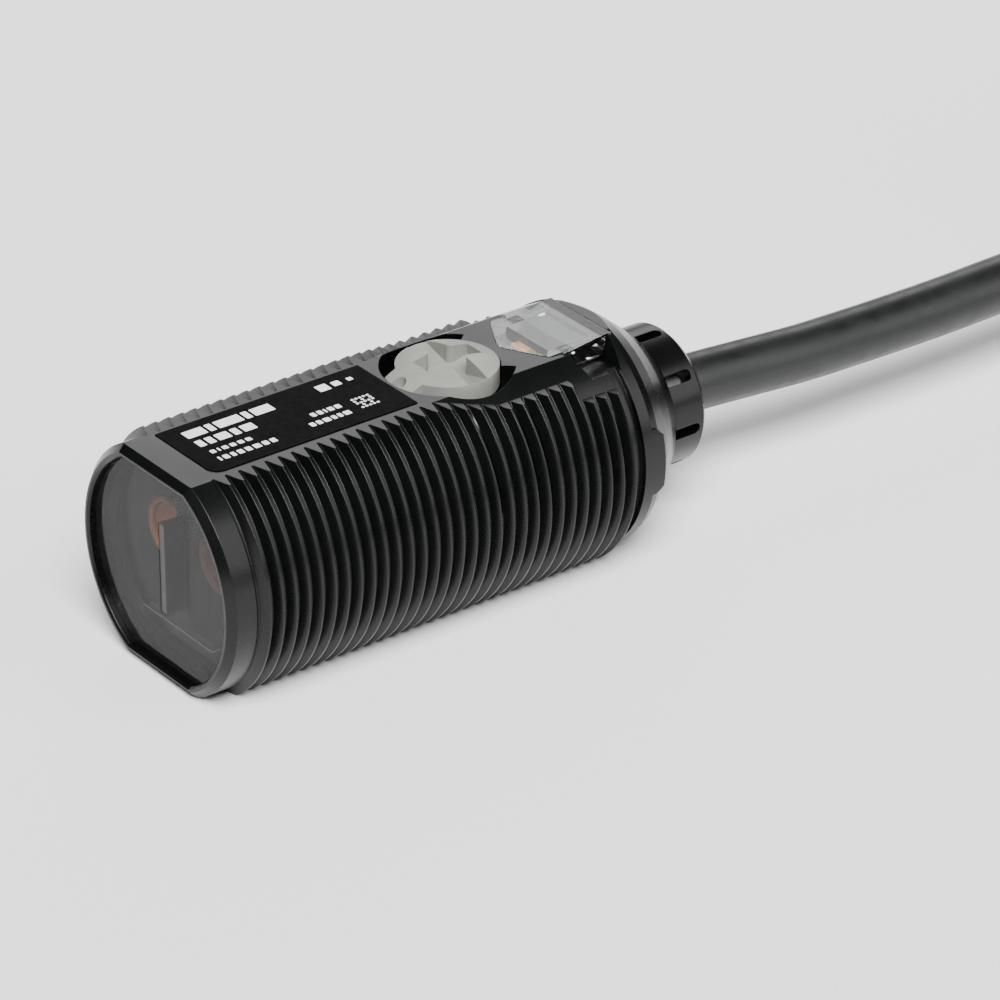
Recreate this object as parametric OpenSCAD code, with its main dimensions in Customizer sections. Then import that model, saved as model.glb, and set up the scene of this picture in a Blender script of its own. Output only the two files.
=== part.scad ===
// M18 photoelectric sensor: a threaded plastic barrel with flats above and below, a smoked front window,
// a sensitivity dial and an indicator window on top, and a fixed cable out of the back.
// The front face looks along -Y, +Z is up, and the part lies on its lower flat at z = 0.
// Inside the modules y runs back from the front face and z is the height above the barrel's axis.

/* [Barrel] */
// Radius over the thread's crests: an M18 thread
thread_r = 9; // [8.6:0.1:9.4]
// Distance from one crest to the next
thread_pitch = 1; // [0.9:0.05:1]
// Number of crests
crests = 30; // [20:1:30]
// Height of each flat above or below the axis
flat_h = 7.55; // [7.5:0.01:7.6]
// Radius of the cavity for the optics and the board
bore_r = 6.9; // [6.7:0.05:6.95]

/* [Front window] */
// Front face to the window's outer face
window_y = 0.6; // [0.3:0.05:0.8]
// Window thickness
window_t = 1; // [0.8:0.05:1.1]
// Window radius
window_r = 7.55; // [7.3:0.01:7.6]

/* [Sensitivity dial] */
// Front face to the dial's axis
dial_y = 23.05; // [22.9:0.05:23.1]
// Dial radius at its rim
dial_r = 3.41; // [3:0.01:3.45]
// Dial axis to the tip of its nose
nose_reach = 4.2; // [3.9:0.05:4.25]
// Radius of the well around the dial
well_r = 4.45; // [4.4:0.01:4.5]
// Half the angle of the stop behind the dial
stop_half = 39; // [30:1:45]

/* [Indicator window] */
// Half the width of the indicator window's top
indicator_half = 3.2; // [3.1:0.05:3.3]
// Its height above the axis at the back
indicator_top = 7.82; // [7.75:0.01:7.9]

/* [Cable end] */
// Radius of the slotted ring
ring_r = 4.86; // [4.6:0.01:5]
// Number of slots in the ring
ring_slots = 8; // [4:1:10]
// Cable radius
cable_r = 2; // [1.8:0.05:2]

/* [Hank] */
// Radius of the inner turns at the folds
fold_r = 12; // [12:0.5:13]
// Straight length between the folds
hank_run = 44; // [36:1:46]
// Layers of turns
hank_layers = 6; // [4:1:7]

/* [Hidden] */
$fn = 64;
axis_z = flat_h;
front_y = -20.5;
exit_y = 41;
barrel_end = 33.7;
root_r = thread_r - 0.613 * thread_pitch;
collar_r = 8.44;
collar_end = 2;
first_crest = 2.65;
crest_half = 0.0625 * thread_pitch;
root_half = 0.416 * thread_pitch;
relief_start = first_crest + (crests - 1) * thread_pitch + root_half;
relief_r = root_r - 0.35;
band_start = 32.88;
// The rear band's own flat is level with the back of the indicator window
band_flat = indicator_top;
// The crests are cut away beside the dial and the indicator window
platform_start = 19.2;
platform_side = 6.65;
platform_level = 23.4;
indicator_start = 28.9;
indicator_side = 5.6;
// Tabs on both sides of the rear band
tab_end = 34.54;
tab_top = 2.7;
tab_low = -2;
tab_in_r = 7.6;
// The cavity
window_flat = 6.75;
lip = 0.15;
front_chamfer = 0.45;
recess_gap = 0.05;
seal_y = window_y + window_t;
seal_end = seal_y + 0.5;
bore_flat = 6;
shelf_start = 18.6;
shelf_low = 4.4;
spigot_start = 31.4;
spigot_r = 6.5;
// The dial's well
well_floor = 5.8;
stem_r = 1.2;
stem_gap = 0.05;
stop_in_r = 3.5;
dial_low = 6.3;
dial_dome_r = 8.4;
dial_floor = 6.9;
nose_half = 1.42;
notch_r = 0.55;
notch_reach = 3.95;
// The cross recess in the dial
cross_long_half = 0.75;
cross_short_half = 0.8;
cross_short_reach = 2.2;
cross_corner = 0.45;
// The recess floor is flat inside recess_r and rises by recess_rise on its way to the rim
recess_r = 0.9;
recess_rise = 0.74;
recess_h = 4;
// The indicator window
tip_y = 27.37;
tip_half = 0.37;
shoulder_y = 28.7;
shoulder_half = 2.8;
window_end = 34;
plate_low = 7.05;
plug_low = 6.15;
plug_end = 31.2;
fit_gap = 0.03;
lens_half = 2.3;
// The side notches beside the indicator window
notch_in = 2.9;
notch_low = 6.33;
notch_start = 30.25;
notch_corner = 30.7;
notch_end = 33;
wing_half = 4.34;
wing_low = 7.19;
// The boards
board_low = 0.6;
board_top = 1.6;
board_half = 6;
board_start = 9.1;
board_end = 30.2;
front_board_y = 8;
front_board_end = 8.8;
riser_low = 4.5;
riser_top = 5;
// The rear cap
cap_r = 8.4;
cap_end = 38.1;
cap_end_r = 5.12;
cap_bore_r = 5.4;
cap_neck_r = 4;
neck_start = 35.4;
ring_in_r = 3.5;
ring_wall = 40.5;
slot_half = 0.4;
slot_start = 38.2;
slot_end = 40.35;
slot_turn = 6;
root_start = 33.2;
core_r = 0.6;
core_end = 28.4;
potting_start = 31.6;
// The tie and the hank: turns in two columns, with a little air between them
turn_gap = 0.1;
layer_gap = 0.15;
tie_t = 0.6;
tie_half = 2.2;
buckle_size = [5, 6, 2];
buckle_x = 5.5;
column = 2 * cable_r + turn_gap;
layer = 2 * cable_r + layer_gap;
hank_r = fold_r + column + cable_r;
hank_low = tie_t;
hank_h = (hank_layers - 1) * layer + 2 * cable_r;
hank_x = 9;
hank_front = 78;
fold_y = hank_front + hank_r;
lowest_turn = hank_low + cable_r;
tail_x = hank_x + fold_r + column;
tail_len = 14;
tail_y = fold_y - 4;

// The cable's route from the ring to the hank, in the part's own frame
route = [
    [0, 20.5, 7.55],
    [0.2, 24, 7.45],
    [0.5, 28, 7.3],
    [0.7, 32, 7.1],
    [0.7, 36, 6.95],
    [0.7, 40, 6.85],
    [0.7, 45, 6.8],
    [0.6, 50, 6.8],
    [0.4, 55, 6.7],
    [0, 60, 6.3],
    [-0.6, 65, 5.6],
    [-1.3, 70, 4.7],
    [-2, 75, 3.6],
    [-2.6, 79, 2.95],
    [-2.9, 83, 2.65],
    [-3, 86, 2.6]
];
// The three leads from the jacket's end, each as places from the tail's end
lead_brown_route = [
    [0.6, 0, 0.5], [0.9, -5, 0.2], [1.6, -10, -1],
    [2.2, -16, -1.95], [2.4, -22, -1.95], [2.2, -28, -1.95]
];
lead_blue_route = [
    [-0.6, 0, 0.5], [-0.9, -5, 0.1], [-1.6, -10, -1.1],
    [-1.9, -15, -1.95], [-1.6, -20, -1.95], [-0.9, -26, -1.95]
];
lead_black_route = [
    [0, 0, -0.6], [0, -5, -1.1], [-0.1, -10, -1.8],
    [0, -15, -1.95], [0.3, -20, -1.95], [0.6, -24, -1.95]
];
lead_r = 0.6;
wire_r = 0.3;
strip_len = 4;

// Places the barrel: its front face at front_y and its axis at axis_z
module in_place() {
    translate([0, front_y, axis_z]) children();
}

// A shape drawn as across and up, pushed from y0 to y1
module push_y(y0, y1) {
    translate([0, y1, 0]) rotate([90, 0, 0]) linear_extrude(y1 - y0) children();
}

// A shape drawn as along and up, pushed from x0 to x1
module push_x(x0, x1) {
    translate([x0, 0, 0]) rotate([90, 0, 90]) linear_extrude(x1 - x0) children();
}

// A shape drawn from above, pushed from z0 to z1
module push_z(z0, z1) {
    translate([0, 0, z0]) linear_extrude(z1 - z0) children();
}

// A profile of radius and distance along, turned about the barrel's axis
module turn(points) {
    rotate([-90, 0, 0]) rotate_extrude() polygon(points);
}

// A round disc or tube along the axis
module round_y(r, y0, y1) {
    push_y(y0, y1) circle(r);
}

// A round outline with a flat above and below
module flatted(r, top, low) {
    intersection() {
        circle(r);
        translate([-2 * r, -low]) square([4 * r, top + low]);
    }
}

// A rectangular block between two corners
module block(low, high) {
    translate(low) cube(high - low);
}

// Both sides of the barrel
module both_sides() {
    children();
    mirror([1, 0, 0]) children();
}

// A tube of radius r swept along points, with its ends square to the route
function along(p, i) = let (a = p[max(i - 1, 0)], b = p[min(i + 1, len(p) - 1)]) (b - a) / norm(b - a);
function side_way(t) = let (s = cross(t, [0, 0, 1])) s / norm(s);
function ring_at(p, i, r, n) = let (t = along(p, i), s = side_way(t), u = cross(s, t))
    [for (k = [0 : n - 1]) p[i] + r * cos(360 * k / n) * s + r * sin(360 * k / n) * u];
module swept(p, r, n) {
    points = [for (i = [0 : len(p) - 1]) each ring_at(p, i, r, n)];
    start = [[for (k = [0 : n - 1]) k]];
    finish = [[for (k = [n - 1 : -1 : 0]) (len(p) - 1) * n + k]];
    walls = [for (i = [0 : len(p) - 2], k = [0 : n - 1])
        [i * n + k, (i + 1) * n + k, (i + 1) * n + (k + 1) % n, i * n + (k + 1) % n]];
    polyhedron(points, concat(start, finish, walls));
}

// The barrel's outside in section: collar, crests, relief groove and rear band
function crest(y) = [
    [root_r, y - root_half], [thread_r, y - crest_half],
    [thread_r, y + crest_half], [root_r, y + root_half]
];
barrel_outline = concat(
    [[0, 0], [7.95, 0], [collar_r, 0.5], [collar_r, collar_end], [root_r, collar_end + 0.1]],
    [for (i = [0 : crests - 1]) each crest(first_crest + i * thread_pitch)],
    [[relief_r, relief_start + 0.1], [relief_r, band_start], [collar_r, band_start]],
    [[collar_r, barrel_end], [0, barrel_end]]
);

// The chamfer where a flat meets the front face
module front_edge() {
    push_x(-10, 10) polygon([
        [-1, flat_h - front_chamfer - 1], [front_chamfer + 1, flat_h + 1], [-1, flat_h + 1]
    ]);
}

// The small chamfer round the window's recess
module recess_edge() {
    r = window_r + recess_gap;
    flat = window_flat + recess_gap;
    intersection() {
        turn([[0, -lip], [r + 2 * lip, -lip], [r, lip], [0, lip]]);
        push_x(-10, 10) polygon([
            [-lip, flat + 2 * lip], [lip, flat], [lip, -flat], [-lip, -flat - 2 * lip]
        ]);
    }
}

// The barrel cut by its flats, with the crests cut away beside the dial and the indicator window
module barrel() {
    difference() {
        turn(barrel_outline);
        block([-10, -1, -10], [10, 40, -flat_h]);
        block([-10, -1, flat_h], [10, band_start, 10]);
        front_edge();
        mirror([0, 0, 1]) front_edge();
        block([-10, band_start - 0.01, band_flat], [10, 40, 10]);
        difference() {
            push_x(-10, 10) polygon([
                [platform_start, flat_h], [platform_level, platform_side], [indicator_start, platform_side],
                [indicator_start, indicator_side], [relief_start, indicator_side],
                [relief_start, 10], [platform_start, 10]
            ]);
            round_y(root_r, platform_start - 1, relief_start + 1);
        }
    }
}

// The tabs that run on over the cap, on both sides
module side_tabs(gap) {
    both_sides() intersection() {
        difference() {
            round_y(collar_r, barrel_end - 0.1, tab_end + 1);
            round_y(tab_in_r, barrel_end - 0.2, tab_end + 2);
        }
        push_x(6, 9) polygon([
            [barrel_end - 0.1, tab_low - gap], [tab_end - 0.5, tab_low - gap],
            [tab_end + gap, tab_low + 0.5], [tab_end + gap, tab_top - 0.5],
            [tab_end - 0.5, tab_top + gap], [barrel_end - 0.1, tab_top + gap]
        ]);
    }
}

// The well around the dial, with the stop left standing behind it
module dial_well() {
    difference() {
        translate([0, dial_y, well_floor]) cylinder(r = well_r, h = 4);
        difference() {
            translate([0, dial_y, 5]) linear_extrude(5) polygon([
                [0, 0], [8 * sin(stop_half), 8 * cos(stop_half)],
                [-8 * sin(stop_half), 8 * cos(stop_half)]
            ]);
            translate([0, dial_y, 4.9]) cylinder(r = stop_in_r, h = 6);
        }
    }
}

// The indicator window's outline from above: a pointed front and a square back
module indicator_outline(gap) {
    polygon([
        [tip_half + gap, tip_y - gap], [shoulder_half + gap, shoulder_y],
        [indicator_half + gap, shoulder_y + 0.3],
        [indicator_half + gap, window_end + gap], [-indicator_half - gap, window_end + gap],
        [-indicator_half - gap, shoulder_y + 0.3], [-shoulder_half - gap, shoulder_y],
        [-tip_half - gap, tip_y - gap]
    ]);
}

// Where the indicator window sits: a shallow seat, and a deeper one as far as the spigot
module indicator_seat(gap) {
    push_z(plate_low - gap, 9) indicator_outline(gap);
    intersection() {
        push_z(plug_low - gap, plate_low) indicator_outline(gap);
        block([-10, 0, 0], [10, plug_end + gap, 10]);
    }
}

// The notch beside the indicator window, open to the barrel's side
module side_notch() {
    intersection() {
        push_z(notch_low, 9) polygon([
            [notch_in, notch_start], [wing_half, notch_start], [5.6, notch_corner],
            [9, notch_corner + 1], [9, barrel_end + 1], [notch_in, barrel_end + 1]
        ]);
        push_x(0, 9) polygon([
            [notch_start - 1, notch_low], [notch_end, notch_low],
            [barrel_end, 7.79], [barrel_end, 9], [notch_start - 1, 9]
        ]);
    }
}

module housing() {
    color("#161616") in_place() difference() {
        union() {
            barrel();
            side_tabs(0);
        }
        push_y(-1, seal_end)
            flatted(window_r + recess_gap, window_flat + recess_gap, window_flat + recess_gap);
        recess_edge();
        push_y(seal_end - 1, shelf_start) flatted(bore_r, bore_flat, bore_flat);
        push_y(shelf_start - 0.1, spigot_start) flatted(bore_r, shelf_low, bore_flat);
        round_y(spigot_r, spigot_start - 0.01, tab_end + 1);
        dial_well();
        translate([0, dial_y, 0]) cylinder(r = stem_r + stem_gap, h = 8);
        translate([0, dial_y, 5.05]) cylinder(r = 2.1, h = 3);
        indicator_seat(fit_gap);
        block([-lens_half, 28.6, 4], [lens_half, plug_end, 7]);
        both_sides() side_notch();
    }
}

// The smoked window, slotted for the rib between the two lenses
rib_half = 0.28;
rib_top = 3.25;
rib_low = -3.15;
module front_window() {
    color("#3c3b39") in_place() difference() {
        push_y(window_y, seal_y) flatted(window_r, window_flat, window_flat);
        block([-rib_half - fit_gap, 0, rib_low - fit_gap], [rib_half + fit_gap, 3, rib_top + fit_gap]);
    }
}

module window_seal() {
    color("#20201f") in_place() difference() {
        push_y(seal_y, seal_end) flatted(window_r, window_flat, window_flat);
        push_y(seal_y - 1, seal_end + 1) flatted(bore_r - 0.2, bore_flat, bore_flat);
    }
}

// The label on the upper flat, with one front corner rounded
label_near = 3.15;
label_far = -3.38;
label_start = 2.6;
label_end = 18.35;
label_t = 0.06;
label_corner = 0.9;
module rating_label() {
    wide = label_near - label_far;
    long = label_end - label_start;
    color("#0b0b0b") in_place() push_z(flat_h, flat_h + label_t) translate([label_far, label_start]) union() {
        translate([0, label_corner]) square([wide, long - label_corner]);
        square([wide - label_corner, long]);
        translate([wide - label_corner, label_corner]) circle(label_corner);
    }
}

// The optics: a holder with two pockets, a lens in each, and the light source and the detector behind
holder_start = seal_end + 0.1;
holder_end = 7.9;
pocket_in = 0.6;
pocket_out = 5.1;
pocket_top = 4.6;
pocket_low = -4.5;
ledge_half = 3.8;
ledge_t = 0.35;
aperture_r = 1.7;
lens_r = 2.15;
lens_x = 2.85;
lens_y = 3.6;
lens_z = 0.9;
lens_dome_r = 3.2;
module optics_holder() {
    color("#3a3a3a") in_place() difference() {
        push_y(holder_start, holder_end) flatted(bore_r - 0.1, bore_flat - 0.1, bore_flat - 0.1);
        both_sides() block([pocket_in, holder_start - 1, pocket_low], [pocket_out, lens_y, pocket_top]);
        both_sides() translate([lens_x, 0, lens_z]) round_y(lens_r + 0.02, lens_y - 0.1, 5);
        both_sides() translate([lens_x, 0, lens_z]) round_y(aperture_r, 4.9, holder_end + 1);
    }
}

// The shield that keeps the source's light from the detector: a rib through the window and a ledge below
module light_shield() {
    color("#6f6f6c") in_place() union() {
        block([-rib_half, window_y + 0.05, rib_low], [rib_half, holder_start, rib_top]);
        block([-rib_half, seal_y + 0.05, pocket_low - ledge_t / 2], [rib_half, holder_start, rib_low + 0.1]);
        block([-ledge_half, seal_y + 0.05, pocket_low - ledge_t], [ledge_half, holder_start, pocket_low]);
    }
}

// A ring that holds a lens in its pocket
module lens_ring(x) {
    translate([x, lens_y - 0.5, lens_z]) rotate([90, 0, 0]) rotate_extrude() translate([2, 0]) circle(0.24);
}

module emitter_ring() {
    color("#d9731f") in_place() lens_ring(-lens_x);
}

module receiver_ring() {
    color("#9a4a2a") in_place() lens_ring(lens_x);
}

// A lens with a domed front and a flat back
module lens(x) {
    translate([x, 0, lens_z]) intersection() {
        round_y(aperture_r, lens_y - 0.9, 4.98);
        translate([0, lens_y - 0.9 + lens_dome_r, 0]) sphere(lens_dome_r);
    }
}

module emitter_lens() {
    color("#d0702a") in_place() lens(-lens_x);
}

module receiver_lens() {
    color("#8a4a3a") in_place() lens(lens_x);
}

module emitter_led() {
    color("#c23a20") in_place() translate([-lens_x, 0, lens_z]) union() {
        round_y(1.5, 7, front_board_y);
        round_y(1.1, 6.2, 7.05);
        translate([0, 6.2, 0]) sphere(1.1);
    }
}

module receiver_diode() {
    color("#151515") in_place() union() {
        translate([lens_x, 0, lens_z]) round_y(1.5, 6.9, front_board_y);
        block([lens_x - 0.7, 6.7, lens_z - 0.7], [lens_x + 0.7, 7, lens_z + 0.7]);
    }
}

module front_board() {
    color("#1f6b3a") in_place() difference() {
        push_y(front_board_y, front_board_end) flatted(bore_r - 0.2, bore_flat - 0.2, bore_flat - 0.2);
        both_sides() translate([4.9, 0, -3]) round_y(0.5, 7, 10);
    }
}

// The long board, narrower at the back to pass under the cap's spigot
module main_board() {
    color("#1f6b3a") in_place() difference() {
        push_z(board_low, board_top) polygon([
            [-board_half, board_start], [board_half, board_start], [board_half, 28],
            [5, board_end], [-5, board_end], [-board_half, 28]
        ]);
        both_sides() translate([4.8, 12, 0]) cylinder(r = 0.5, h = 3);
    }
}

module shield_can() {
    color("#b9bcc0") in_place() difference() {
        block([-4.2, 10.4, board_top], [4.2, 17.8, 4.2]);
        block([-4, 10.6, 0], [4, 17.6, 4]);
        both_sides() translate([2.4, 14.1, 3]) cylinder(r = 0.5, h = 3);
    }
}

// A chip on the board's lower side, with a row of legs on each side
module chip(x, y, half, thick) {
    union() {
        block([x - half, y - half, board_low - thick], [x + half, y + half, board_low - 0.1]);
        for (i = [-2 : 2])
            block([x - half - 0.5, y + i * half / 3 - 0.12, board_low - 0.35],
                [x + half + 0.5, y + i * half / 3 + 0.12, board_low]);
    }
}

module controller_chip() {
    color("#1a1a1c") in_place() chip(0, 14.5, 2.4, 1.1);
}

module driver_chip() {
    color("#1a1a1c") in_place() chip(-2.2, 23.5, 1.5, 1.3);
}

module capacitors() {
    color("#8f7a55") in_place() union() {
        translate([2.6, 22.5, board_low - 3.2]) cylinder(r = 1.6, h = 3.2);
        block([1.6, 25.6, board_low - 1.1], [3.6, 27, board_low]);
        block([-4.6, 18.6, board_low - 0.9], [-3.2, 20.2, board_low]);
        block([3.4, 18.4, board_top], [4.6, 19.4, board_top + 0.8]);
    }
}

// The pins that join the two boards
module board_link() {
    color("#c9a24a") in_place() union() {
        block([-3, front_board_end, board_top], [3, 10.3, board_top + 0.9]);
        for (i = [-2 : 2])
            block([i * 1.1 - 0.2, front_board_y + 0.05, board_top + 0.3],
                [i * 1.1 + 0.2, front_board_end, board_top + 0.7]);
    }
}

module trimmer_body() {
    color("#e6e4da") in_place() difference() {
        block([-2.3, dial_y - 2.3, board_top], [2.3, dial_y + 2.3, 4.1]);
        translate([0, dial_y, 2.5]) cylinder(r = 1.65, h = 3);
    }
}

module trimmer_rotor() {
    color("#c8b070") in_place() translate([0, dial_y, 2.55]) cylinder(r = 1.6, h = 1.65);
}

// One rounded inner corner of the cross recess, seen from above
module cross_corner_cut() {
    translate([cross_short_half - 0.01, cross_long_half - 0.01]) difference() {
        square(cross_corner);
        translate([cross_corner, cross_corner]) circle(cross_corner);
    }
}

// The cross recess: one arm from rim to rim and one short arm
module cross_outline() {
    square([4 * dial_r, 2 * cross_long_half], center = true);
    square([2 * cross_short_half, 2 * cross_short_reach], center = true);
    for (i = [0, 1], j = [0, 1])
        mirror([i, 0]) mirror([0, j]) cross_corner_cut();
}

// The recess in the dial's top: deep at the middle and almost nothing at the rim
module cross_recess() {
    intersection() {
        linear_extrude(recess_h) cross_outline();
        cylinder(r1 = recess_r, r2 = recess_r + recess_h * (dial_r - recess_r) / recess_rise, h = recess_h);
    }
}

// The dial from above: a disc, and a straight nose that ends in an arc
module dial_outline() {
    circle(dial_r);
    intersection() {
        circle(nose_reach);
        translate([-nose_half, -nose_reach]) square([2 * nose_half, nose_reach]);
    }
}

// The dial: a domed cap with a cross recess, a nose that points along -Y, and a stem down to the trimmer
module dial() {
    color("#b0b0a8") in_place() translate([0, dial_y, 0]) difference() {
        union() {
            intersection() {
                push_z(dial_low, dial_low + 4) dial_outline();
                sphere(dial_dome_r, $fn = 96);
            }
            translate([0, 0, 4.2]) cylinder(r = stem_r, h = dial_low - 4.2 + 0.5);
        }
        translate([0, 0, dial_floor]) cross_recess();
        translate([0, -notch_reach, dial_floor]) cylinder(r = notch_r, h = 3);
    }
}

// An O-ring of middle radius r and section radius t
module o_ring(r, t) {
    rotate_extrude() translate([r, 0]) circle(t);
}

module dial_seal() {
    color("#2b2b2b") in_place() translate([0, dial_y, 5.42]) o_ring(1.65, 0.34);
}

// The clear window: a sloped top plate, a hollow plug under it and a wing on each side
module indicator_window() {
    color("#d8dcdc") in_place() difference() {
        union() {
            intersection() {
                indicator_seat(0);
                push_x(-5, 5) polygon([
                    [tip_y - 1, 6], [window_end + 1, 6], [window_end + 1, indicator_top],
                    [window_end, indicator_top], [29, 7.58], [tip_y - 1, 7.56]
                ]);
            }
            both_sides() intersection() {
                push_x(indicator_half - 0.1, wing_half) polygon([
                    [notch_start + 0.03, plate_low], [32.2, plate_low],
                    [33.6, 7.79], [29.9, 7.62], [notch_start + 0.03, 7.5]
                ]);
                round_y(root_r, 29, 34);
            }
        }
        intersection() {
            block([-lens_half + 0.1, 28, 0], [lens_half - 0.1, 33.1, 7.2]);
            push_x(-5, 5) polygon([
                [29.3, 5], [plug_end - 0.5, 5], [33, 7.2], [29.6, 7.2]
            ]);
        }
    }
}

module indicator_board() {
    color("#1f6b3a") in_place() block([-2.2, 28.7, riser_low], [2.2, 31.1, riser_top]);
}

// An indicator light: a white case with a coloured dome
module led(x) {
    union() {
        block([x - 0.7, 29.6, riser_top], [x + 0.7, 30.6, riser_top + 0.5]);
        translate([x, 30.1, riser_top + 0.5]) intersection() {
            sphere(0.45);
            cylinder(r = 1, h = 1);
        }
    }
}

module orange_led() {
    color("#e88a2a") in_place() led(-1.1);
}

module green_led() {
    color("#7bc86a") in_place() led(1.1);
}

// The rear cap: a cone over the barrel's end, and a spigot inside it
cap_outline = [
    [cap_bore_r, spigot_start + 0.1], [spigot_r - 0.05, spigot_start + 0.1], [spigot_r - 0.05, 32.2],
    [spigot_r - 0.5, 32.2], [spigot_r - 0.5, 33], [spigot_r - 0.05, 33],
    [spigot_r - 0.05, barrel_end], [cap_r, barrel_end], [8.2, 34.3], [7.5, 35.4],
    [6.45, 36.7], [5.45, 37.8], [cap_end_r, cap_end], [cap_neck_r, cap_end],
    [cap_neck_r, neck_start], [cap_bore_r, neck_start]
];
module rear_cap() {
    color("#131313") in_place() difference() {
        turn(cap_outline);
        block([-10, 30, band_flat], [10, 40, 12]);
        block([-10, 30, -12], [10, 40, -flat_h]);
        side_tabs(fit_gap);
        push_z(plate_low, 10) indicator_outline(fit_gap);
    }
}

module cap_seal() {
    color("#8a8a86") in_place() translate([0, 32.6, 0]) rotate([90, 0, 0]) o_ring(spigot_r - 0.25, 0.23);
}

// The slotted ring that grips the cable
ring_outline = [
    [ring_in_r, 34.7], [4.9, 34.7], [4.9, neck_start], [cap_neck_r - 0.03, neck_start],
    [cap_neck_r - 0.03, cap_end], [ring_r, cap_end], [ring_r, exit_y - 0.35], [ring_r - 0.35, exit_y],
    [cable_r, exit_y], [cable_r, ring_wall], [ring_in_r, ring_wall]
];
module cord_ring() {
    color("#101010") in_place() difference() {
        turn(ring_outline);
        for (i = [0 : ring_slots - 1])
            rotate([0, slot_turn + i * 360 / ring_slots, 0]) {
                block([-slot_half, slot_start, 2.5], [slot_half, slot_end - slot_half, 6]);
                translate([0, slot_end - slot_half, 2.5]) cylinder(r = slot_half, h = 4);
            }
    }
}

module cord_bushing() {
    color("#2e2e2c") in_place() turn([
        [cable_r, 35.2], [ring_in_r, 35.2], [ring_in_r, 38.4],
        [3.3, 38.6], [3.3, ring_wall], [cable_r, ring_wall]
    ]);
}

module cable_root() {
    color("#1d1f20") in_place() round_y(cable_r, root_start, exit_y);
}

// The three cores run straight forward under the board
core_places = [[-1.05, -0.35], [1.05, -0.35], [0, -1.25]];
module core(i, end) {
    translate([core_places[i][0], 0, core_places[i][1]]) round_y(core_r, end, root_start);
}

module core_brown() {
    color("#6b4226") in_place() core(0, core_end);
}

module core_blue() {
    color("#2a5ea8") in_place() core(1, core_end);
}

module core_black() {
    color("#1a1a1a") in_place() core(2, core_end - 0.4);
}

module potting() {
    color("#2a2320") in_place() difference() {
        round_y(cap_bore_r, potting_start, root_start);
        for (i = [0 : 2]) core(i, potting_start - 1);
    }
}

// The cable past the ring: the free lead, the hank with its tie, and the tail that ends bare
module cable_lead() {
    color("#202324") swept(route, cable_r, 10);
}

module cable_hank() {
    color("#202324") translate([hank_x, 0, hank_low]) linear_extrude(hank_h) union() {
        translate([0, fold_y]) circle(hank_r);
        translate([0, fold_y + hank_run]) circle(hank_r);
        translate([-hank_r, fold_y]) square([2 * hank_r, hank_run]);
    }
}

module hank_tie() {
    middle = fold_y + hank_run / 2;
    color("#15171a") translate([hank_x, 0, 0]) union() {
        push_y(middle - tie_half, middle + tie_half) difference() {
            translate([-hank_r - tie_t, 0]) square([2 * (hank_r + tie_t), hank_h + 2 * tie_t]);
            translate([-hank_r, tie_t]) square([2 * hank_r, hank_h]);
        }
        translate([buckle_x, middle, hank_h + 2 * tie_t + buckle_size.z / 2])
            cube(buckle_size, center = true);
    }
}

module cable_tail() {
    color("#202324") translate([tail_x, 0, lowest_turn]) round_y(cable_r, tail_y - tail_len, tail_y);
}

// A lead from the jacket's end: its insulation, and a bare tip of wire
module lead(points) {
    last = len(points) - 1;
    way = along(points, last);
    translate([tail_x, tail_y - tail_len, lowest_turn]) union() {
        swept(points, lead_r, 8);
        swept([points[last] - 0.1 * way, points[last] + strip_len * way], wire_r, 8);
    }
}

module lead_brown() {
    color("#6b4226") lead(lead_brown_route);
}

module lead_blue() {
    color("#2a5ea8") lead(lead_blue_route);
}

module lead_black() {
    color("#1a1a1a") lead(lead_black_route);
}

housing();
front_window();
window_seal();
rating_label();
optics_holder();
light_shield();
emitter_ring();
receiver_ring();
emitter_lens();
receiver_lens();
emitter_led();
receiver_diode();
front_board();
main_board();
shield_can();
controller_chip();
driver_chip();
capacitors();
board_link();
trimmer_body();
trimmer_rotor();
dial();
dial_seal();
indicator_window();
indicator_board();
orange_led();
green_led();
rear_cap();
cap_seal();
cord_ring();
cord_bushing();
potting();
cable_root();
core_brown();
core_blue();
core_black();
cable_lead();
cable_hank();
hank_tie();
cable_tail();
lead_brown();
lead_blue();
lead_black();
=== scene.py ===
# %% [markdown]
# # A photoelectric sensor in a threaded barrel
# This lesson lays the cable, gives each piece the finish of the real one and adds the small things that CAD
# leaves out, such as printing and the bare strands of the leads.

# %% Load the model
import math

import bmesh
import bpy
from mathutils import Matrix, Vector


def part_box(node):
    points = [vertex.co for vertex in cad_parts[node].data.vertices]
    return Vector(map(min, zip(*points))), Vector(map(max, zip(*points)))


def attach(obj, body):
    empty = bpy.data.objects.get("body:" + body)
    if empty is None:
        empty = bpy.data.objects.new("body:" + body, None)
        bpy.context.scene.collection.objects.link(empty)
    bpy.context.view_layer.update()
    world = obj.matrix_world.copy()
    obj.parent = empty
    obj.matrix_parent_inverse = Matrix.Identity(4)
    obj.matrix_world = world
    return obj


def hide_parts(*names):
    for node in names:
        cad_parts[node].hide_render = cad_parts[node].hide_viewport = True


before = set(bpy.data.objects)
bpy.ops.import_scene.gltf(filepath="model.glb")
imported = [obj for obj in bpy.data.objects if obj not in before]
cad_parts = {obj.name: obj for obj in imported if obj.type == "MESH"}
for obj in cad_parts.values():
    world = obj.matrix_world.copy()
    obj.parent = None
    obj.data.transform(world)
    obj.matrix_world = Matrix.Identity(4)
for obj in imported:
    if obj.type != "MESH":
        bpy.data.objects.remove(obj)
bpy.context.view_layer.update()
MM = 0.001

# %% [markdown]
# ## Camera
# A long lens keeps the barrel's lines nearly parallel, as in a catalogue view: the front window and the
# upper flat both show. The camera looks down by 28.7 degrees and turns 52.7 degrees round the barrel.

# %% The camera
CAMERA_AT = Vector((240.77, -176.51, 169.40)) * MM
TURN = math.radians(52.71)
TILT = math.radians(28.70)
LENS = 187.99

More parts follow.
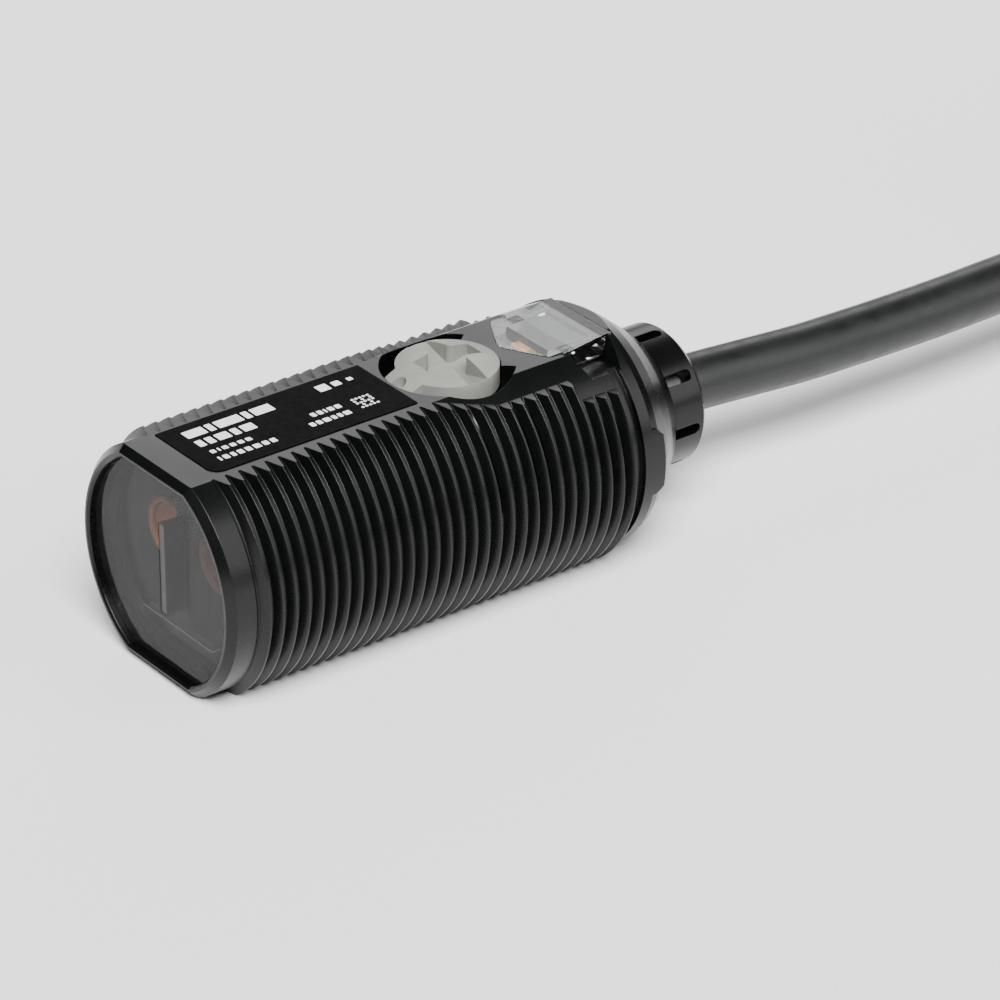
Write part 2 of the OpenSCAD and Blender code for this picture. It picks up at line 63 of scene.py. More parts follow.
towards = Vector((math.cos(TILT) * math.sin(TURN), -math.cos(TILT) * math.cos(TURN), math.sin(TILT)))
camera = bpy.data.objects.new("camera", bpy.data.cameras.new("camera"))
camera.data.lens = LENS
camera.data.sensor_width = 36
camera.data.clip_start = 0.01
camera.location = CAMERA_AT
camera.rotation_euler = towards.to_track_quat("Z", "Y").to_euler()
bpy.context.scene.collection.objects.link(camera)
bpy.context.scene.camera = camera
print("camera looks along", [round(-x, 3) for x in towards])

# %% [markdown]
# ## The cable's route
# The cable has a fixed length, so its route is settled first: out of the ring, down to the surface, then
# into a hank folded in line with the barrel. The free stretch is a short list of places, and the turns of
# the hank follow a rule: six layers of inner turns going up, then outer turns coming down around them.

# %% The free stretch, from the ring to the hank
CABLE_R = 2 * MM
ROUTE = [
    (0, 20.5, 7.55), (0.2, 24, 7.45), (0.5, 28, 7.3), (0.7, 32, 7.1),
    (0.7, 36, 6.95), (0.7, 40, 6.85), (0.7, 45, 6.8), (0.6, 50, 6.8),
    (0.4, 55, 6.7), (0, 60, 6.3), (-0.6, 65, 5.6), (-1.3, 70, 4.7),
    (-2, 75, 3.6), (-2.6, 79, 2.95), (-2.9, 83, 2.65), (-3, 86, 2.6),
]
route = [Vector(p) * MM for p in ROUTE]


def smooth(points, steps):
    """A Catmull-Rom curve through the points, with steps pieces between each pair."""
    ends = [2 * points[0] - points[1]] + points + [2 * points[-1] - points[-2]]
    line = []
    for before, start, finish, after in zip(ends, ends[1:], ends[2:], ends[3:]):
        for i in range(steps):
            t = i / steps
            line.append(0.5 * (2 * start + (finish - before) * t
                + (2 * before - 5 * start + 4 * finish - after) * t ** 2
                + (3 * start - before - 3 * finish + after) * t ** 3))
    return line + [points[-1]]


def length_of(line):
    return sum((b - a).length for a, b in zip(line, line[1:]))


free_line = smooth(route, 4)
print("free stretch:", round(length_of(free_line) / MM, 1), "mm")

# %% The hank's turns
FOLD_R = 12 * MM
COLUMN = 4.1 * MM
LAYER = 4.15 * MM
LAYERS = 6
RUN = 44 * MM
HANK_X = 9 * MM
LOWEST = 2.6 * MM
FOLD_Y = 96.1 * MM
TAIL_END = 78.1 * MM
FOLD_STEPS = 20
RUN_STEPS = 8
TAIL_STEPS = 6


def run(x, back, low, high):
    """A straight run at x, towards +Y or back, that may climb from layer low to layer high."""
    points = []
    for i in range(RUN_STEPS):
        t = i / RUN_STEPS
        rise = low + (high - low) * t * t * (3 - 2 * t)
        y = FOLD_Y + RUN * (1 - t if back else t)
        points.append(Vector((x, y, LOWEST + LAYER * rise)))
    return points


def fold(r_start, r_end, far, layer):
    """Half a turn at the far or the near end of the hank, on one layer."""
    points = []
    for i in range(FOLD_STEPS):
        t = i / FOLD_STEPS
        r = r_start + (r_end - r_start) * t * t * (3 - 2 * t)
        angle = math.pi * (1 - t) if far else -math.pi * t
        y = FOLD_Y + (RUN if far else 0) + r * math.sin(angle)
        points.append(Vector((HANK_X + r * math.cos(angle), y, LOWEST + LAYER * layer)))
    return points


OUTER_R = FOLD_R + COLUMN
hank_line = []
for turn in range(LAYERS):
    last = turn == LAYERS - 1
    hank_line += run(HANK_X - FOLD_R, False, turn, turn)
    hank_line += fold(FOLD_R, OUTER_R if last else FOLD_R, True, turn)
    if not last:
        hank_line += run(HANK_X + FOLD_R, True, turn, turn + 1)
        hank_line += fold(FOLD_R, FOLD_R, False, turn + 1)
for turn in range(LAYERS - 1, 0, -1):
    hank_line += run(HANK_X + OUTER_R, True, turn, turn)
    hank_line += fold(OUTER_R, OUTER_R, False, turn)
    hank_line += run(HANK_X - OUTER_R, False, turn, turn - 1)
    hank_line += fold(OUTER_R, OUTER_R, True, turn - 1)
hank_line += run(HANK_X + OUTER_R, True, 0, 0)
for i in range(TAIL_STEPS + 1):
    y = FOLD_Y + (TAIL_END - FOLD_Y) * i / TAIL_STEPS
    hank_line.append(Vector((HANK_X + OUTER_R, y, LOWEST)))
cable_line = free_line + hank_line
print("cable:", round(length_of(cable_line), 3), "m")

# %% [markdown]
# ## The cable as a curve
# The bevel is one unit deep and each point's radius is the real one, because Blender counts the point radius
# in the curve's box. The ends are capped, as a cut cable's are.

# %% The jacket
ROOT = "sensor"


def new_curve(name, sides):
    """A curve piece whose lines are round rods with closed ends."""
    curve = bpy.data.curves.new(name, "CURVE")
    curve.dimensions = "3D"
    curve.bevel_depth = 1.0
    curve.bevel_resolution = sides
    curve.use_fill_caps = True
    piece = bpy.data.objects.new(name, curve)
    bpy.context.scene.collection.objects.link(piece)
    return piece


def add_line(piece, line, radius):
    """Adds one rod along a line of points."""
    spline = piece.data.splines.new("POLY")
    spline.points.add(len(line) - 1)
    for point, place in zip(spline.points, line):
        point.co = (*place, 1)
        point.radius = radius
    spline.use_smooth = True


def tube(name, line, radius, sides=5):
    """A round tube along a line of points."""
    piece = new_curve(name, sides)
    add_line(piece, line, radius)
    return piece


cable = tube("cable", cable_line, CABLE_R)
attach(cable, ROOT)
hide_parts("cable_lead", "cable_hank", "cable_tail")
print("cable points:", len(cable_line))

# %% [markdown]
# ## Leads and their bare ends
# The jacket ends beside the hank, and three insulated leads run on over the surface. Each is a tube through
# a few places, and from its end come seven fine strands that lie in a twist, as stripped wire does.

# %% The leads
TAIL = Vector((HANK_X + OUTER_R, TAIL_END, LOWEST))
LEAD_R = 0.6 * MM
STRIP = 4 * MM
STRAND_R = 0.1 * MM
STRANDS = 7
STRAND_STEPS = 10
LEADS = {
    "brown": [
        (0.6, 0, 0.5), (0.9, -5, 0.2), (1.6, -10, -1),
        (2.2, -16, -1.95), (2.4, -22, -1.95), (2.2, -28, -1.95),
    ],
    "blue": [
        (-0.6, 0, 0.5), (-0.9, -5, 0.1), (-1.6, -10, -1.1),
        (-1.9, -15, -1.95), (-1.6, -20, -1.95), (-0.9, -26, -1.95),
    ],
    "black": [
        (0, 0, -0.6), (0, -5, -1.1), (-0.1, -10, -1.8),
        (0, -15, -1.95), (0.3, -20, -1.95), (0.6, -24, -1.95),
    ],
}


def strands(name, start, way):
    """Strands round a middle one, twisted once over their length."""
    side = way.cross(Vector((0, 0, 1))).normalized()
    up = side.cross(way)
    around = STRANDS - 1
    piece = new_curve(name, 2)
    for k in range(STRANDS):
        out = 0 if k == around else 2 * STRAND_R
        line = []
        for i in range(STRAND_STEPS + 1):
            angle = 2 * math.pi * (k / around + i / STRAND_STEPS)
            aside = out * (math.cos(angle) * side + math.sin(angle) * up)
            line.append(start + way * STRIP * i / STRAND_STEPS + aside)
        add_line(piece, line, STRAND_R)
    return piece


tip_pieces = []
for colour, places in LEADS.items():
    line = smooth([TAIL + Vector(p) * MM for p in places], 6)
    lead = tube(f"lead_{colour}_insulation", line, LEAD_R, 4)
    tip = strands(f"lead_{colour}_strands", line[-1], (line[-1] - line[-2]).normalized())
    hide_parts(f"lead_{colour}")
    for piece in (lead, tip):
        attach(piece, ROOT)
    tip_pieces.append(tip)

# %% [markdown]
# ## The tie
# A releasable strap holds the hank. It is a thin band that follows a rectangle with round corners, so its
# ring of sections comes from one loop, and a small buckle sits on top with the strap's end through it.

# %% The strap and its buckle
tie_low, tie_high = (Vector(c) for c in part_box("hank_tie"))
STRAP_T = 0.6 * MM
STRAP_HALF = 2.2 * MM
CORNER = 2.6 * MM
EDGE = 0.15 * MM
BUCKLE_LONG = 5 * MM
BUCKLE_WIDE = 6 * MM
BUCKLE_H = 2 * MM
BUCKLE_ASIDE = 5.5 * MM
BUCKLE_GAP = 0.1 * MM
BUCKLE_EDGE = 0.3 * MM
MOUTH_RIM = 0.55 * MM
MOUTH_DEPTH = 0.8 * MM


def new_piece(name, mesh_builder):
    """A mesh object from a bmesh, smooth except across sharp edges."""
    mesh = bpy.data.meshes.new(name)
    mesh_builder.to_mesh(mesh)
    mesh_builder.free()
    piece = bpy.data.objects.new(name, mesh)
    bpy.context.scene.collection.objects.link(piece)
    for face in mesh.polygons:
        face.use_smooth = True
    mesh.set_sharp_from_angle(angle=math.radians(35))
    return piece


def rounded_box(low, high, corner, steps=6):
    """Places round a rectangle in X and Z, with round corners."""
    centres = [
        (high.x - corner, high.z - corner), (low.x + corner, high.z - corner),
        (low.x + corner, low.z + corner), (high.x - corner, low.z + corner),
    ]
    places = []
    for k, (x, z) in enumerate(centres):
        for i in range(steps + 1):
            angle = math.pi / 2 * (k + i / steps)
            places.append((x + corner * math.cos(angle), z + corner * math.sin(angle)))
    return places


middle_y = (tie_low.y + tie_high.y) / 2
strap_high = Vector((tie_high.x, 0, tie_high.z - BUCKLE_H))
outside = rounded_box(tie_low, strap_high, CORNER)
inset = Vector((STRAP_T, 0, STRAP_T))
inside = rounded_box(tie_low + inset, strap_high - inset, CORNER - STRAP_T)
band = bmesh.new()
rings = []
for (xo, zo), (xi, zi) in zip(outside, inside):
    section = []
    for x, z, side in ((xo, zo, 1), (xo, zo, -1), (xi, zi, -1), (xi, zi, 1)):
        section.append(band.verts.new((x, middle_y + side * STRAP_HALF, z)))
    rings.append(section)
for k, section in enumerate(rings):
    following = rings[(k + 1) % len(rings)]
    for i in range(4):
        j = (i + 1) % 4
        band.faces.new((section[i], section[j], following[j], following[i]))
bmesh.ops.recalc_face_normals(band, faces=band.faces)
strap = new_piece("tie_strap", band)
bevel = strap.modifiers.new("edges", "BEVEL")
bevel.width = EDGE
bevel.segments = 2
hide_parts("hank_tie")

buckle_mesh = bmesh.new()
bmesh.ops.create_cube(buckle_mesh, size=1)
buckle_size = Vector((BUCKLE_LONG, BUCKLE_WIDE, BUCKLE_H - BUCKLE_GAP))
buckle_at = Vector((HANK_X + BUCKLE_ASIDE, middle_y, tie_high.z - (BUCKLE_H + BUCKLE_GAP) / 2))
for corner in buckle_mesh.verts:
    corner.co = Vector(a * b for a, b in zip(corner.co, buckle_size)) + buckle_at
# The mouth that the strap's end runs through is a dent in the two faces across the strap
for face in [f for f in buckle_mesh.faces if abs(f.normal.x) > 0.9]:
    bmesh.ops.inset_individual(buckle_mesh, faces=[face], thickness=MOUTH_RIM)
    bmesh.ops.translate(buckle_mesh, verts=face.verts, vec=-face.normal * MOUTH_DEPTH)
buckle = new_piece("tie_buckle", buckle_mesh)
bevel = buckle.modifiers.new("edges", "BEVEL")
bevel.width = BUCKLE_EDGE
bevel.segments = 3
bevel.limit_method = "ANGLE"
for piece in (strap, buckle):
    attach(piece, ROOT)
print("strap:", [round(x / MM, 1) for x in tie_high - tie_low], "mm")

# %% [markdown]
# ## Shader maths as Python
# A finish is a small network of nodes. Wire wraps one socket, so that sums, products and comparisons read
# as Python, and Finish holds the material, with one method that adds any other node.

# %% Wires and finishes
class Wire:
    """A number that varies over the surface, with Math nodes behind its operators."""

    def __init__(self, finish, socket):
        self.finish = finish
        self.socket = socket

    def math(self, operation, *others):
        values = dict(enumerate((self,) + others))
        return self.finish.node("ShaderNodeMath", {"operation": operation}, values)

    def __add__(self, other):
        return self.math("ADD", other)

    def __mul__(self, other):
        return self.math("MULTIPLY", other)

    def above(self, limit):
        return self.math("GREATER_THAN", limit)

    def below(self, limit):
        return self.math("LESS_THAN", limit)


class Finish:
    """A material with one Principled shader."""

    def __init__(self, name, **constants):
        self.material = bpy.data.materials.new(name)
        self.material.use_nodes = True
        self.tree = self.material.node_tree
        self.shader = self.tree.nodes["Principled BSDF"]
        for socket, value in constants.items():
            self.shader.inputs[socket.replace("_", " ")].default_value = value
        self.places = None

    def node(self, kind, settings, values=None, output=0):
        """Adds a node, sets it up, fills or links its sockets and gives its output as a Wire."""
        made = self.tree.nodes.new(kind)
        for name, value in settings.items():
            setattr(made, name, value)
        for name, value in (values or {}).items():
            self.feed(made.inputs[name], value)
        return Wire(self, made.outputs[output])

    def feed(self, socket, value):
        if isinstance(value, Wire):
            self.tree.links.new(value.socket, socket)
        else:
            socket.default_value = value

    def set(self, name, value):
        self.feed(self.shader.inputs[name], value)

    def place(self):
        """Where a point is on the object, in metres."""
        if self.places is None:
            self.places = self.node("ShaderNodeTexCoord", {}, output=3)
        return self.places

    def noise(self, size, detail=2.0, roughness=0.5, stretch=(1, 1, 1)):
        """Smooth noise whose patches are about size across."""
        at = self.node("ShaderNodeMapping", {}, {"Vector": self.place(), "Scale": stretch})
        return self.node(
            "ShaderNodeTexNoise", {},
            {"Vector": at, "Scale": 1 / size, "Detail": detail, "Roughness": roughness},
        )

    def spread(self, value, low, high):
        """Maps 0.3 to 0.7, where most of the noise lies, onto low to high."""
        return self.node(
            "ShaderNodeMapRange", {},
            {"Value": value, "From Min": 0.3, "From Max": 0.7, "To Min": low, "To Max": high},
        )

    def mix(self, factor, one, other):
        """A colour between one and other."""
        return self.node(
            "ShaderNodeMix", {"data_type": "RGBA"}, {0: factor, 6: one, 7: other}, output=2,
        )

    def cloudy(self, size, one, other, detail=2.0):
        """A colour that drifts between one and other, in patches about size across."""
        cloud = self.spread(self.noise(size, detail), 0, 1)
        return self.mix(cloud, rgba(*one), rgba(*other))

    def bump(self, height, distance, strength=1.0, normal=None):
        values = {"Height": height, "Distance": distance, "Strength": strength}
        if normal is not None:
            values["Normal"] = normal
        return self.node("ShaderNodeBump", {}, values)

    def rounded(self, radius):
        """Normals that turn smoothly over the edges, as the mould's small radii do."""
        return self.node("ShaderNodeBevel", {"samples": 4}, {"Radius": radius})

    def paint(self, *names):
        """Gives the finish to CAD nodes or pieces."""
        for name in names:
            data = bpy.data.objects[name].data
            data.materials.clear()
            data.materials.append(self.material)
        print(self.material.name, "on", ", ".join(names))


def rgba(r, g, b):
    return (r, g, b, 1)


# %% [markdown]
# ## Moulded black plastic
# The barrel and the cap are glass-filled black plastic. Its moulded skin is dark, half glossy and very
# slightly grained, with soft cloudy changes of gloss and a trace of handling on it.

# %% Black plastic
def black_plastic(name, colour, gloss, grain):
    finish = Finish(name, Specular_IOR_Level=0.3)
    cloud = finish.noise(6 * MM, 3)
    fine = finish.noise(0.18 * MM, 2)
    dust = finish.spread(finish.noise(1.1 * MM, 4, 0.6), 0, 1)
    worn = tuple(c * 1.6 + 0.001 for c in colour)
    finish.set("Base Color", finish.mix(dust * 0.5, rgba(*colour), rgba(*worn)))
    finish.set("Roughness", finish.spread(cloud, gloss - 0.04, gloss + 0.05) + fine * 0.05)
    finish.set("Normal", finish.bump(fine, grain, 0.6, finish.rounded(0.05 * MM)))
    return finish


barrel_black = black_plastic("barrel_plastic", (0.0012, 0.0014, 0.0014), 0.27, 0.002 * MM)
barrel_black.paint("housing")
cap_black = black_plastic("cap_plastic", (0.0012, 0.0013, 0.0013), 0.24, 0.0015 * MM)
cap_black.paint("rear_cap", "cord_ring")

# %% [markdown]
# ## The label and its printing
# The label is a thin black film. Its printing is a layer of its own, less than a hundredth of a millimetre
# thick, and it is laid out as plain bars, squares and a grid that say nothing.

# %% The label
label = Finish("label_film", Specular_IOR_Level=0.03)
label.set("Base Color", label.cloudy(2 * MM, (0.0008, 0.0008, 0.0008), (0.0016, 0.0017, 0.0017)))
label.set("Roughness", label.spread(label.noise(0.5 * MM), 0.5, 0.6))
label.set("Normal", label.bump(label.noise(0.25 * MM), 0.0006 * MM))
label.paint("rating_label")

# %% The printing
label_low, label_high = (Vector(c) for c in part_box("rating_label"))
PRINT_T = 0.008 * MM
INK_CORNER = 0.06 * MM


def add_mark(build, x, y, across, along, z):
    """A rounded bar of ink centred at x, y: across is its size in X and along in Y."""
    corner = min(INK_CORNER, across / 2.2, along / 2.2)
    outline = []
    for k, (sx, sy) in enumerate(((1, 1), (-1, 1), (-1, -1), (1, -1))):
        for i in range(3):
            angle = math.pi / 2 * (k + i / 2)
            outline.append((
                x + sx * (across / 2 - corner) + corner * math.cos(angle),
                y + sy * (along / 2 - corner) + corner * math.sin(angle),
            ))
    low = [build.verts.new((a, b, z)) for a, b in outline]
    high = [build.verts.new((a, b, z + PRINT_T)) for a, b in outline]
    build.faces.new(high)
    build.faces.new(low[::-1])
    for i in range(len(low)):
        j = (i + 1) % len(low)
        build.faces.new((low[i], low[j], high[j], high[i]))


ink = bmesh.new()
# Each row is its place across and along the label, its height, the gap between its bars, and their widths, in
# millimetres from the label's corner at low X and low Y: two bold rows, two fine ones and two small ones
ROWS = [
    (1.35, 1.35, 0.95, 0.22, (1.5, 0.45, 1.9, 0.45, 1.5)),
    (2.75, 1.35, 0.85, 0.24, (0.5, 0.5, 0.95, 0.5, 0.95)),
    (4.1, 1.45, 0.42, 0.2, (0.35, 0.14, 0.4, 0.4, 0.4, 0.4)),
    (5.15, 1.35, 0.52, 0.2, (0.16, 0.4, 0.3, 0.4, 0.4, 0.5, 0.4, 0.4)),
    (3.9, 9.3, 0.5, 0.16, (0.35, 0.35, 0.14, 0.4, 0.4)),
    (4.95, 8.5, 0.5, 0.16, (0.36, 0.36, 0.5, 0.3, 0.3, 0.5)),
]
GRID = 5
GRID_AT = (3.75, 12.6)
GRID_PITCH = 0.3
GRID_SQUARE = 0.2
SQUARES_AT = (1.25, 12.1)
SQUARES_PITCH = 1.05
SQUARES = (0.85, 0.6, 0.4)


def print_mark(x, y, across, along):
    """One mark, in millimetres from the label's corner."""
    add_mark(ink, label_low.x + x * MM, label_low.y + y * MM, across * MM, along * MM, label_high.z)


for x, start, height, gap, widths in ROWS:
    y = start
    for width in widths:
        print_mark(x, y + width / 2, height, width)
        y += width + gap
for i in range(GRID):
    for j in range(GRID):
        # About a quarter of the places stay empty
        if (i * 3 + j * 2) % 4 != 1:
            print_mark(GRID_AT[0] + i * GRID_PITCH, GRID_AT[1] + j * GRID_PITCH, GRID_SQUARE, GRID_SQUARE)
for i, size in enumerate(SQUARES):
    print_mark(SQUARES_AT[0], SQUARES_AT[1] + i * SQUARES_PITCH, size, size)
printing = new_piece("label_printing", ink)
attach(printing, ROOT)
white_ink = Finish("white_ink", Specular_IOR_Level=0.4)
white_ink.set("Base Color", white_ink.cloudy(0.4 * MM, (0.86, 0.86, 0.84), (0.74, 0.74, 0.73)))
white_ink.set("Roughness", white_ink.spread(white_ink.noise(0.2 * MM), 0.45, 0.6))
white_ink.paint("label_printing")
print("printing faces:", len(printing.data.polygons))

# %% [markdown]
# ## Windows and lenses
# The front window is smoked plastic: it darkens what is behind it and mirrors the surface in front. The
# indicator window is clear plastic that bends light, so its facets and hollow catch bright glints.

# %% Smoked front window
smoked = Finish("smoked_window", IOR=1.5, Specular_IOR_Level=0.36)
smoked.set("Base Color", smoked.cloudy(4 * MM, (0.012, 0.0115, 0.011), (0.016, 0.015, 0.0145)))
smoked.set("Roughness", smoked.spread(smoked.noise(1.5 * MM), 0.02, 0.04))
smoked.set("Alpha", smoked.spread(smoked.noise(5 * MM), 0.46, 0.5))
smoked.paint("front_window")

# %% Clear indicator window
clear = Finish("clear_window", IOR=1.4, Transmission_Weight=1.0, Specular_IOR_Level=0.25)
clear.set("Base Color", clear.cloudy(2 * MM, (0.93, 0.95, 0.95), (0.86, 0.88, 0.88)))
clear.set("Roughness", clear.spread(clear.noise(0.8 * MM), 0.02, 0.06))
clear.paint("indicator_window")

# %% Lenses
for name, ring, light, dark in (
    ("emitter_lens", "emitter_ring", (1.0, 0.36, 0.04), (0.85, 0.22, 0.03)),
    ("receiver_lens", "receiver_ring", (0.45, 0.13, 0.07), (0.3, 0.08, 0.05)),
):
    lens = Finish(name + "_plastic", IOR=1.5, Coat_Weight=0.6)
    lens.set("Base Color", lens.cloudy(1.5 * MM, light, dark))
    lens.set("Roughness", lens.spread(lens.noise(0.7 * MM), 0.1, 0.18))
    lens.paint(name, ring)

# %% [markdown]
# ## Behind the window
# The holder is matte and nearly black, so that little stray light comes back out through the window. The
# shield between the two lenses is dark too. A thin pale band is painted along the front edge of the ledge at
# its foot, as a painted highlight for the light that edge catches. One finish serves both: a mask of height
# paints that highlight in a narrow band of the edge.

# %% Holder and shield
holder = Finish("holder_plastic", Specular_IOR_Level=0.05)
holder.set("Base Color", holder.cloudy(2 * MM, (0.006, 0.006, 0.0055), (0.004, 0.004, 0.0038), 3))
holder.set("Roughness", holder.spread(holder.noise(0.8 * MM), 0.6, 0.75))
holder.paint("optics_holder")

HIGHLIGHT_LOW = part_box("light_shield")[0][2] + 0.2 * MM
HIGHLIGHT_HIGH = HIGHLIGHT_LOW + 0.1 * MM
shield = Finish("shield_plastic", Specular_IOR_Level=0.3)
height = shield.node("ShaderNodeSeparateXYZ", {}, {"Vector": shield.place()}, output=2)
rib_grey = shield.cloudy(1 * MM, (0.04, 0.04, 0.039), (0.03, 0.03, 0.029), 3)
# Painted highlight: a pale band at the ledge's front edge stands in for the light it catches
painted_highlight_mask = height.above(HIGHLIGHT_LOW) * height.below(HIGHLIGHT_HIGH)
shield.set("Base Color", shield.mix(painted_highlight_mask, rib_grey, rgba(0.8, 0.8, 0.78)))
shield.set("Roughness", shield.spread(shield.noise(0.4 * MM), 0.35, 0.45))
shield.paint("light_shield")

# %% [markdown]
# ## Everyday plastics, rubber, resin and metal
# The other pieces need only two recipes: a plastic with cloudy colour and fine grain, and a metal with
# small scratches. Their numbers say how light, how glossy and how rough each one is.

# %% One recipe for plastics
def plastic(name, light, dark, gloss, patch, grain, size, *targets):
    finish = Finish(name)
    finish.set("Base Color", finish.cloudy(patch, light, dark, 3))
    finish.set("Roughness", finish.spread(finish.noise(patch * 0.4), gloss - 0.05, gloss + 0.06))
    finish.set("Normal", finish.bump(finish.noise(size, 3), grain, 0.8, finish.rounded(0.06 * MM)))
    finish.paint(*targets)


plastic("dial_plastic", (0.235, 0.235, 0.216), (0.2, 0.2, 0.183), 0.42, 1.5 * MM, 0.002 * MM, 0.12 * MM,
    "dial")
plastic("jacket_vinyl", (0.0045, 0.005, 0.005), (0.003, 0.0033, 0.0034), 0.42, 3 * MM, 0.006 * MM, 0.3 * MM,
    "cable", "cable_root")
plastic("seal_rubber", (0.03, 0.03, 0.03), (0.02, 0.02, 0.02), 0.7, 1 * MM, 0.004 * MM, 0.1 * MM,
    "window_seal", "dial_seal", "cap_seal")
plastic("bushing_rubber", (0.16, 0.16, 0.15), (0.1, 0.1, 0.095), 0.6, 1 * MM, 0.004 * MM, 0.1 * MM,
    "cord_bushing")
plastic("chip_epoxy", (0.02, 0.02, 0.022), (0.012, 0.012, 0.014), 0.5, 1 * MM, 0.003 * MM, 0.1 * MM,
    "receiver_diode", "controller_chip", "driver_chip")
plastic("trimmer_ceramic", (0.72, 0.71, 0.66), (0.6, 0.59, 0.54), 0.5, 1 * MM, 0.002 * MM, 0.1 * MM,
    "trimmer_body")
plastic("capacitor_case", (0.32, 0.23, 0.13), (0.22, 0.15, 0.08), 0.35, 1 * MM, 0.002 * MM, 0.1 * MM,
    "capacitors")
plastic("potting_resin", (0.03, 0.02, 0.016), (0.015, 0.01, 0.008), 0.15, 2 * MM, 0.004 * MM, 1 * MM,
    "potting")
plastic("tie_nylon", (0.012, 0.012, 0.013), (0.007, 0.007, 0.008), 0.38, 2 * MM, 0.003 * MM, 0.2 * MM,
    "tie_strap", "tie_buckle")
plastic("brown_vinyl", (0.15, 0.06, 0.025), (0.1, 0.04, 0.016), 0.4, 2 * MM, 0.002 * MM, 0.15 * MM,
    "core_brown", "lead_brown_insulation")
plastic("blue_vinyl", (0.03, 0.12, 0.42), (0.02, 0.08, 0.3), 0.4, 2 * MM, 0.002 * MM, 0.15 * MM,
    "core_blue", "lead_blue_insulation")
plastic("black_vinyl", (0.02, 0.02, 0.02), (0.012, 0.012, 0.012), 0.4, 2 * MM, 0.002 * MM, 0.15 * MM,
    "core_black", "lead_black_insulation")


# %% One recipe for metals
# Noise drawn out along X reads as small scratches
SCRATCHES = (0.1, 1, 1)


def metal(name, light, dark, gloss, *targets):
    finish = Finish(name, Metallic=1.0)
    finish.set("Base Color", finish.cloudy(1 * MM, light, dark, 3))
    brushed = finish.noise(0.15 * MM, 3, 0.5, SCRATCHES)
    finish.set("Roughness", finish.spread(brushed, gloss - 0.05, gloss + 0.1))
    finish.set("Normal", finish.bump(finish.noise(0.08 * MM, 2, 0.5, SCRATCHES), 0.001 * MM, 0.6))
    finish.paint(*targets)


metal("can_tinplate", (0.62, 0.63, 0.64), (0.5, 0.51, 0.52), 0.28, "shield_can")
metal("contact_brass", (0.8, 0.6, 0.25), (0.68, 0.48, 0.2), 0.25, "board_link", "trimmer_rotor")
metal("tinned_copper", (0.75, 0.72, 0.68), (0.66, 0.58, 0.5), 0.25, *[p.name for p in tip_pieces])

# %% [markdown]
# ## Circuit boards
# A board is green lacquer over copper: the tracks show as slightly raised, lighter lines. A brick pattern
# with long bricks gives the look of tracks in rows.

# %% Board lacquer
board = Finish("board_lacquer", Coat_Weight=0.4)
tracks = board.node(
    "ShaderNodeTexBrick", {"offset": 0.5},
    {"Vector": board.place(), "Scale": 260.0, "Mortar Size": 0.06, "Brick Width": 1.4, "Row Height": 0.25},
    output=1,
)
board.set("Base Color", board.mix(tracks, rgba(0.012, 0.12, 0.05), rgba(0.03, 0.22, 0.09)))
board.set("Roughness", board.spread(board.noise(0.6 * MM), 0.28, 0.4))
board.set("Normal", board.bump(tracks, 0.01 * MM, 0.5))
board.paint("front_board", "main_board", "indicator_board")

# %% [markdown]
# ## Lamps
# The three lamps are small domes of tinted resin. They are off, and a weak emission paints a glow into them
# all the same.

# %% Lamp resin
for name, colour, painted_glow in (
    ("emitter_led", (0.7, 0.1, 0.04), 0.3),
    ("orange_led", (0.95, 0.42, 0.1), 0.1),
    ("green_led", (0.5, 0.85, 0.4), 0.1),
):
    # A painted glow: the lamps are off, yet a weak emission makes them shine
    lamp = Finish(name + "_resin", Coat_Weight=0.8, Emission_Strength=painted_glow)
    pale = tuple(min(1, c * 1.15 + 0.05) for c in colour)
    lamp.set("Base Color", lamp.cloudy(0.5 * MM, colour, pale))
    lamp.set("Emission Color", lamp.cloudy(0.6 * MM, colour, pale))
    lamp.set("Roughness", lamp.spread(lamp.noise(0.3 * MM), 0.12, 0.2))
    lamp.paint(name)

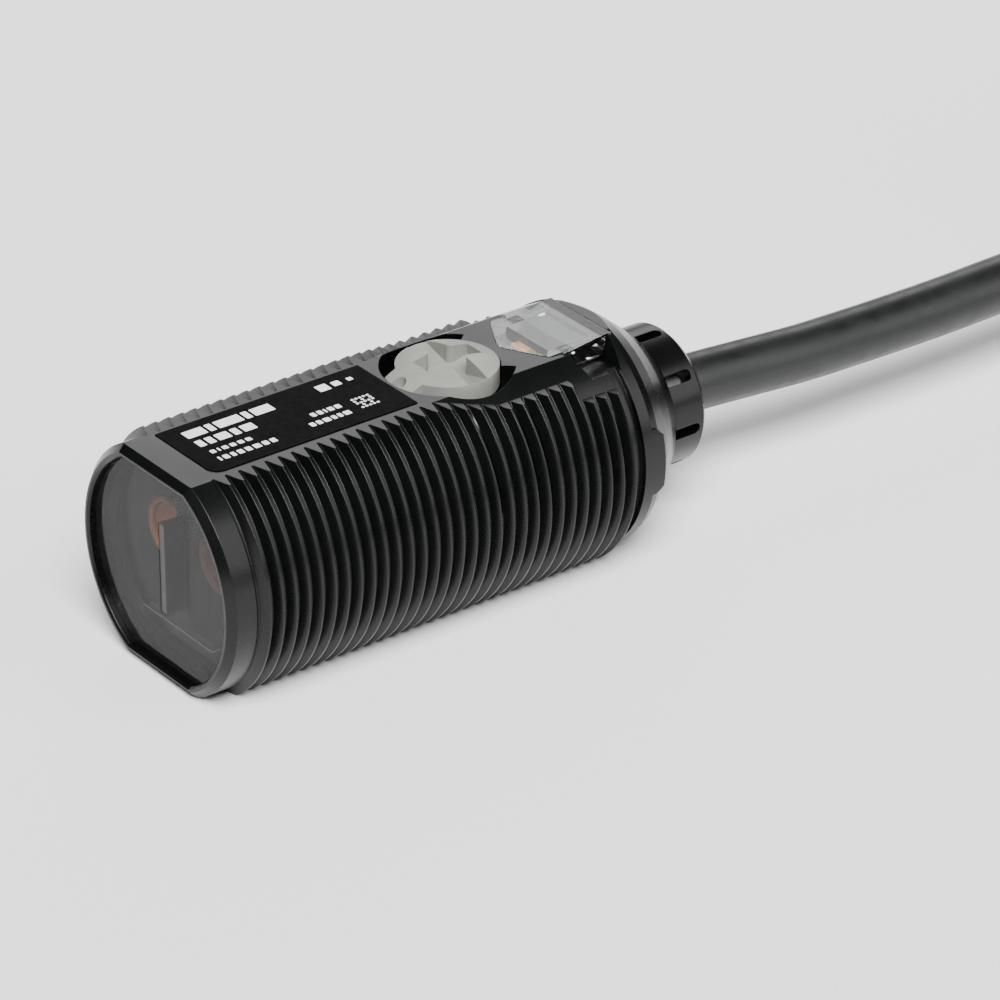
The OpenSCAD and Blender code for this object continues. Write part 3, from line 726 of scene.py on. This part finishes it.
# %% [markdown]
# ## The stage
# The object lies on a pale surface. Black plastic shows only what it mirrors, so where the panels stand
# matters more than their strength: a dim one behind on the left lights the upper flat, and one behind on the
# right draws the lines along the thread. A wide sun from high in front lights the surface and the dial, and
# stands where no face of the barrel mirrors it, so the thread's flanks stay dark.

# %% Floor, panels and sky
FLOOR_HALF = 1.6
FLOOR_DROP = 0.05 * MM
PANEL_AWAY = 0.9
KEY_FROM = (0.5, -0.3, 0.8)

floor_mesh = bmesh.new()
bmesh.ops.create_grid(floor_mesh, x_segments=1, y_segments=1, size=FLOOR_HALF)
bmesh.ops.translate(floor_mesh, verts=floor_mesh.verts, vec=(0, 0, -FLOOR_DROP))
floor = new_piece("floor", floor_mesh)
pale_floor = Finish("pale_floor", Specular_IOR_Level=0.1)
floor_patches = pale_floor.noise(0.2)
pale_floor.set("Base Color", pale_floor.mix(floor_patches, rgba(0.9, 0.9, 0.9), rgba(0.88, 0.88, 0.88)))
pale_floor.set("Roughness", pale_floor.spread(pale_floor.noise(0.05), 0.85, 0.95))
pale_floor.paint("floor")


def panel(name, direction, distance, width, height, power):
    """A soft rectangular lamp that faces the object."""
    data = bpy.data.lights.new(name, "AREA")
    data.shape = "RECTANGLE"
    data.size = width
    data.size_y = height
    data.energy = power
    lamp = bpy.data.objects.new(name, data)
    way = Vector(direction).normalized()
    lamp.location = way * distance
    lamp.rotation_euler = way.to_track_quat("Z", "Y").to_euler()
    bpy.context.scene.collection.objects.link(lamp)


panel("back_left", (-0.70, 0.53, 0.48), PANEL_AWAY, 0.6, 0.45, 2.4)
panel("back_right", (0.70, 0.53, 0.48), PANEL_AWAY, 0.45, 0.7, 3.2)

key = bpy.data.lights.new("key", "SUN")
key.energy = 8.0
key.angle = math.radians(35)
key_lamp = bpy.data.objects.new("key", key)
key_lamp.rotation_euler = Vector(KEY_FROM).to_track_quat("Z", "Y").to_euler()
bpy.context.scene.collection.objects.link(key_lamp)

world = bpy.data.worlds.new("studio")
world.use_nodes = True
sky = world.node_tree.nodes["Background"]
sky.inputs["Color"].default_value = rgba(1, 1, 1)
sky.inputs["Strength"].default_value = 0.08
bpy.context.scene.world = world
